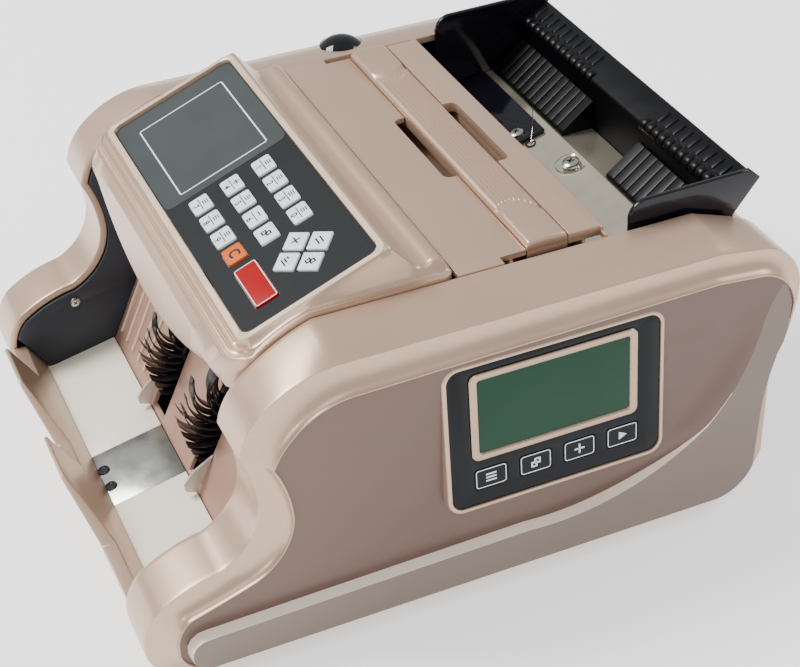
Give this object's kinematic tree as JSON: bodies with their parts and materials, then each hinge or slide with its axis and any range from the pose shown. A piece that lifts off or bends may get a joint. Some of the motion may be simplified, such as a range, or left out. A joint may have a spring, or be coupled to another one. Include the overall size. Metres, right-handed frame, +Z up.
{
  "type": "banknote counting machine",
  "caption": "Desktop banknote counter: sloped keypad console, rear feed hopper, front stacker with vaned wheels, side display, lift-up carrying handle.",
  "frame": {"origin": "on the table under the middle of the machine's outer box", "axes": "+X to the operator's right, towards the side with the display; +Y to the rear, where the hopper is; +Z up"},
  "size_m": [0.264, 0.298, 0.1538],
  "materials": {
    "rose_plastic": "satin metallic champagne rose",
    "rose_side": "satin metallic champagne rose",
    "overlay_dark": "slate membrane film",
    "black_gloss": "gloss black",
    "black_plastic": "black moulded",
    "key_white": "white",
    "key_orange": "orange",
    "key_red": "red",
    "lcd_green": "green liquid crystal",
    "screen_grey": "switched-off screen",
    "rose_metal": "metallic frame",
    "cream_plate": "cream",
    "bare_steel": "satin",
    "charcoal_metal": "charcoal",
    "pink_plastic": "moulded",
    "rubber_black": "soft",
    "motor_steel": "plated",
    "board_green": "coated board",
    "base_plastic": "black"
  },
  "bodies": {
    "body": {"base_tray": "base_plastic", "display_frame": "rose_metal", "display_lcd": "lcd_green", "display_panel": "black_gloss", "drive_belts": "rubber_black", "feed_bracket": "black_plastic", "feed_ramps": "black_plastic", "frame_plates": "charcoal_metal", "hopper_floor": "bare_steel", "left_feed_guide": "black_gloss", "left_side_cover": "rose_plastic", "main_circuit_board": "board_green", "main_motor": "motor_steel", "mains_inlet": "black_plastic", "power_transformer": "motor_steel", "rear_cover": "rose_plastic", "rear_note_guard": "black_plastic", "right_feed_guide": "black_gloss", "right_side_cover": "rose_plastic", "rubber_feet": "rubber_black", "stacker_back_plate": "pink_plastic", "stacker_floor": "cream_plate", "stacker_front_guard": "rose_plastic", "stacker_sensor_plate": "bare_steel", "top_cover": "rose_plastic", "visible_screws": "bare_steel"},
    "console": {"console_housing": "rose_plastic", "console_overlay": "overlay_dark", "console_screen": "screen_grey"},
    "key_0": {"key_0": "key_white"},
    "key_1": {"key_1": "key_white"},
    "key_2": {"key_2": "key_white"},
    "key_3": {"key_3": "key_white"},
    "key_4": {"key_4": "key_white"},
    "key_5": {"key_5": "key_white"},
    "key_6": {"key_6": "key_white"},
    "key_7": {"key_7": "key_white"},
    "key_8": {"key_8": "key_white"},
    "key_9": {"key_9": "key_white"},
    "key_add": {"key_add": "key_white"},
    "key_batch": {"key_batch": "key_white"},
    "key_clear": {"key_clear": "key_orange"},
    "key_current": {"key_current": "key_white"},
    "key_sort": {"key_sort": "key_white"},
    "key_start": {"key_start": "key_red"},
    "key_total": {"key_total": "key_white"},
    "side_key_add": {"side_key_add": "black_gloss"},
    "side_key_batch": {"side_key_batch": "black_gloss"},
    "side_key_function": {"side_key_function": "black_gloss"},
    "side_key_start": {"side_key_start": "black_gloss"},
    "carry_handle": {"carry_handle": "rose_plastic"},
    "feed_gap_knob": {"feed_gap_knob": "black_gloss"},
    "gap_plate": {"gap_plate": "motor_steel"},
    "feed_roller": {"feed_roller": "bare_steel"},
    "kicker_roller": {"kicker_roller": "bare_steel"},
    "motor_pulley": {"motor_pulley": "motor_steel"},
    "stacker_wheels": {"stacker_shaft": "bare_steel", "left_stacker_wheel": "rubber_black", "right_stacker_wheel": "rubber_black"},
    "power_switch": {"power_switch": "black_plastic"}
  },
  "joints": [
    {"name": "console_flip", "type": "hinge", "parent": "body", "child": "console", "pos_m": [0, 0.0054, 0.137], "axis": [-1, 0, 0], "range_deg": [0, 60]},
    {"name": "key_0_press", "type": "slide", "parent": "console", "child": "key_0", "axis": [0, 0.3681, -0.9298], "range_m": [0, 0.0004], "stiffness_N_per_m": 500},
    {"name": "key_1_press", "type": "slide", "parent": "console", "child": "key_1", "axis": [0, 0.3681, -0.9298], "range_m": [0, 0.0004], "stiffness_N_per_m": 500},
    {"name": "key_2_press", "type": "slide", "parent": "console", "child": "key_2", "axis": [0, 0.3681, -0.9298], "range_m": [0, 0.0004], "stiffness_N_per_m": 500},
    {"name": "key_3_press", "type": "slide", "parent": "console", "child": "key_3", "axis": [0, 0.3681, -0.9298], "range_m": [0, 0.0004], "stiffness_N_per_m": 500},
    {"name": "key_4_press", "type": "slide", "parent": "console", "child": "key_4", "axis": [0, 0.3681, -0.9298], "range_m": [0, 0.0004], "stiffness_N_per_m": 500},
    {"name": "key_5_press", "type": "slide", "parent": "console", "child": "key_5", "axis": [0, 0.3681, -0.9298], "range_m": [0, 0.0004], "stiffness_N_per_m": 500},
    {"name": "key_6_press", "type": "slide", "parent": "console", "child": "key_6", "axis": [0, 0.3681, -0.9298], "range_m": [0, 0.0004], "stiffness_N_per_m": 500},
    {"name": "key_7_press", "type": "slide", "parent": "console", "child": "key_7", "axis": [0, 0.3681, -0.9298], "range_m": [0, 0.0004], "stiffness_N_per_m": 500},
    {"name": "key_8_press", "type": "slide", "parent": "console", "child": "key_8", "axis": [0, 0.3681, -0.9298], "range_m": [0, 0.0004], "stiffness_N_per_m": 500},
    {"name": "key_9_press", "type": "slide", "parent": "console", "child": "key_9", "axis": [0, 0.3681, -0.9298], "range_m": [0, 0.0004], "stiffness_N_per_m": 500},
    {"name": "key_add_press", "type": "slide", "parent": "console", "child": "key_add", "axis": [0, 0.3681, -0.9298], "range_m": [0, 0.0004], "stiffness_N_per_m": 500},
    {"name": "key_batch_press", "type": "slide", "parent": "console", "child": "key_batch", "axis": [0, 0.3681, -0.9298], "range_m": [0, 0.0004], "stiffness_N_per_m": 500},
    {"name": "key_clear_press", "type": "slide", "parent": "console", "child": "key_clear", "axis": [0, 0.3681, -0.9298], "range_m": [0, 0.0004], "stiffness_N_per_m": 500},
    {"name": "key_current_press", "type": "slide", "parent": "console", "child": "key_current", "axis": [0, 0.3681, -0.9298], "range_m": [0, 0.0004], "stiffness_N_per_m": 500},
    {"name": "key_sort_press", "type": "slide", "parent": "console", "child": "key_sort", "axis": [0, 0.3681, -0.9298], "range_m": [0, 0.0004], "stiffness_N_per_m": 500},
    {"name": "key_start_press", "type": "slide", "parent": "console", "child": "key_start", "axis": [0, 0.3681, -0.9298], "range_m": [0, 0.0004], "stiffness_N_per_m": 500},
    {"name": "key_total_press", "type": "slide", "parent": "console", "child": "key_total", "axis": [0, 0.3681, -0.9298], "range_m": [0, 0.0004], "stiffness_N_per_m": 500},
    {"name": "side_key_add_press", "type": "slide", "parent": "body", "child": "side_key_add", "axis": [-0.9976, 0, -0.0698], "range_m": [0, 0.0003], "stiffness_N_per_m": 500},
    {"name": "side_key_batch_press", "type": "slide", "parent": "body", "child": "side_key_batch", "axis": [-0.9976, 0, -0.0698], "range_m": [0, 0.0003], "stiffness_N_per_m": 500},
    {"name": "side_key_function_press", "type": "slide", "parent": "body", "child": "side_key_function", "axis": [-0.9976, 0, -0.0698], "range_m": [0, 0.0003], "stiffness_N_per_m": 500},
    {"name": "side_key_start_press", "type": "slide", "parent": "body", "child": "side_key_start", "axis": [-0.9976, 0, -0.0698], "range_m": [0, 0.0003], "stiffness_N_per_m": 500},
    {"name": "handle_lift", "type": "slide", "parent": "body", "child": "carry_handle", "axis": [0, 0, 1], "range_m": [0, 0.024]},
    {"name": "gap_adjust", "type": "slide", "parent": "body", "child": "gap_plate", "axis": [0, 0, 1], "range_m": [-0.0005, 0.0005]},
    {"name": "gap_knob_turn", "type": "hinge", "parent": "body", "child": "feed_gap_knob", "pos_m": [-0.11, 0.0406, 0.134], "axis": [0, 0, 1], "range_deg": [-180, 180]},
    {"name": "feed_spin", "type": "hinge", "parent": "body", "child": "feed_roller", "pos_m": [0, 0.038, 0.084], "axis": [1, 0, 0], "continuous": true},
    {"name": "kicker_spin", "type": "hinge", "parent": "body", "child": "kicker_roller", "pos_m": [0, 0.064, 0.089], "axis": [1, 0, 0], "continuous": true},
    {"name": "motor_spin", "type": "hinge", "parent": "body", "child": "motor_pulley", "pos_m": [-0.1, 0.02, 0.034], "axis": [1, 0, 0], "continuous": true},
    {"name": "stacker_spin", "type": "hinge", "parent": "body", "child": "stacker_wheels", "pos_m": [0, -0.067, 0.045], "axis": [1, 0, 0], "continuous": true},
    {"name": "power_rock", "type": "hinge", "parent": "body", "child": "power_switch", "pos_m": [0.0305, 0.137, 0.0335], "axis": [1, 0, 0], "range_deg": [0, 12]}
  ],
  "couplings": [
    {"joint": "kicker_spin", "follows": "feed_spin", "ratio": 1.3333},
    {"joint": "stacker_spin", "follows": "feed_spin", "ratio": 1.3333},
    {"joint": "motor_spin", "follows": "feed_spin", "ratio": 1.7143},
    {"joint": "gap_knob_turn", "follows": "gap_adjust", "rad_per_m": 6283.2}
  ]
}
